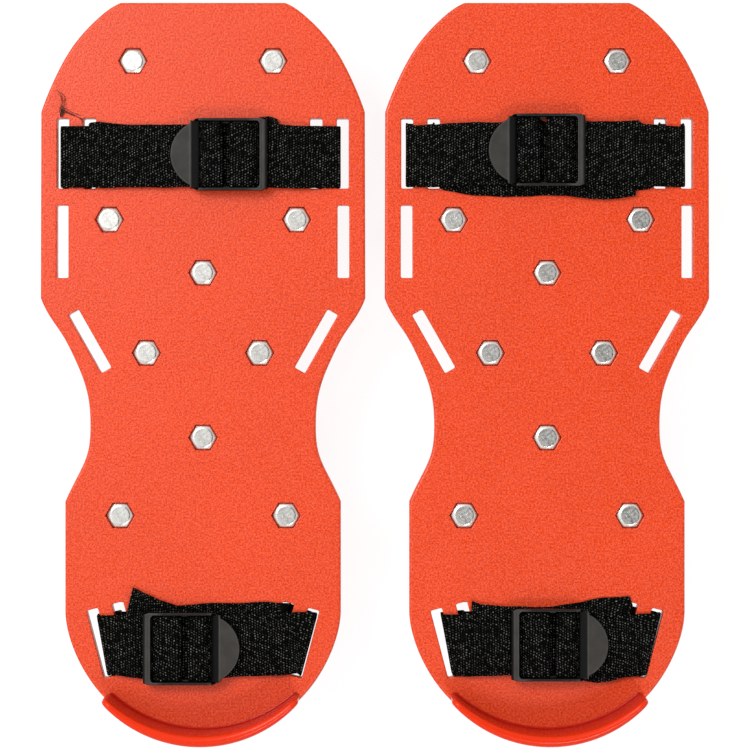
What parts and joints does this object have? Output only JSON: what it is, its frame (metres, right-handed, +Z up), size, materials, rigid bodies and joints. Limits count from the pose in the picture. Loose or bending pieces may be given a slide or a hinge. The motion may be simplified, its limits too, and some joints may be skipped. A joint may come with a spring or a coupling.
{
  "type": "shoe ice cleats",
  "caption": "Pair of strap-on spiked soles for shoes: moulded plate with heel lip, hex-head spikes, webbing straps and ladder-lock buckles.",
  "frame": {"origin": "centre of the pair's footprint, on the ground plane that the spike points stand on", "axes": "+Z up, +Y towards the toes, +X to the wearer's right"},
  "size_m": [0.2694, 0.2974, 0.057],
  "materials": {
    "sole_plastic": "satin",
    "buckle_plastic": "matte",
    "webbing": null,
    "spike_steel": "satin",
    "zinc_steel": "satin"
  },
  "bodies": {
    "left_cleat": {"left_sole_plate": "sole_plastic", "left_spike_toe_left": "spike_steel", "left_spike_toe_right": "spike_steel", "left_spike_ball_left": "spike_steel", "left_spike_ball_right": "spike_steel", "left_spike_ball_centre": "spike_steel", "left_spike_arch_left": "spike_steel", "left_spike_arch_right": "spike_steel", "left_spike_waist_centre": "spike_steel", "left_spike_heel_left": "spike_steel", "left_spike_heel_right": "spike_steel", "left_spike_nuts": "zinc_steel", "left_spike_washers": "zinc_steel", "left_front_strap": "webbing", "left_heel_strap": "webbing"},
    "left_front_buckle": {"left_front_buckle": "buckle_plastic"},
    "left_heel_buckle": {"left_heel_buckle": "buckle_plastic"},
    "right_cleat": {"right_sole_plate": "sole_plastic", "right_spike_toe_left": "spike_steel", "right_spike_toe_right": "spike_steel", "right_spike_ball_left": "spike_steel", "right_spike_ball_right": "spike_steel", "right_spike_ball_centre": "spike_steel", "right_spike_arch_left": "spike_steel", "right_spike_arch_right": "spike_steel", "right_spike_waist_centre": "spike_steel", "right_spike_heel_left": "spike_steel", "right_spike_heel_right": "spike_steel", "right_spike_nuts": "zinc_steel", "right_spike_washers": "zinc_steel", "right_front_strap": "webbing", "right_heel_strap": "webbing"},
    "right_front_buckle": {"right_front_buckle": "buckle_plastic"},
    "right_heel_buckle": {"right_heel_buckle": "buckle_plastic"}
  },
  "joints": [
    {"name": "right_cleat_lift", "type": "slide", "parent": "left_cleat", "child": "right_cleat", "axis": [0, 0, 1], "range_m": [0, 0.12]},
    {"name": "left_front_buckle_tilt", "type": "hinge", "parent": "left_cleat", "child": "left_front_buckle", "pos_m": [-0.0447, 0.0871, 0.0417], "axis": [0, 1, 0], "range_deg": [0, 45], "deforming": ["left_front_strap"]},
    {"name": "right_front_buckle_tilt", "type": "hinge", "parent": "right_cleat", "child": "right_front_buckle", "pos_m": [0.0828, 0.0889, 0.0417], "axis": [0, 1, 0], "range_deg": [0, 45], "deforming": ["right_front_strap"]},
    {"name": "left_heel_buckle_tilt", "type": "hinge", "parent": "left_cleat", "child": "left_heel_buckle", "pos_m": [-0.0915, -0.111, 0.0417], "axis": [0, -1, 0], "range_deg": [0, 45], "deforming": ["left_heel_strap"]},
    {"name": "right_heel_buckle_tilt", "type": "hinge", "parent": "right_cleat", "child": "right_heel_buckle", "pos_m": [0.0562, -0.1095, 0.0417], "axis": [0, -1, 0], "range_deg": [0, 45], "deforming": ["right_heel_strap"]}
  ]
}
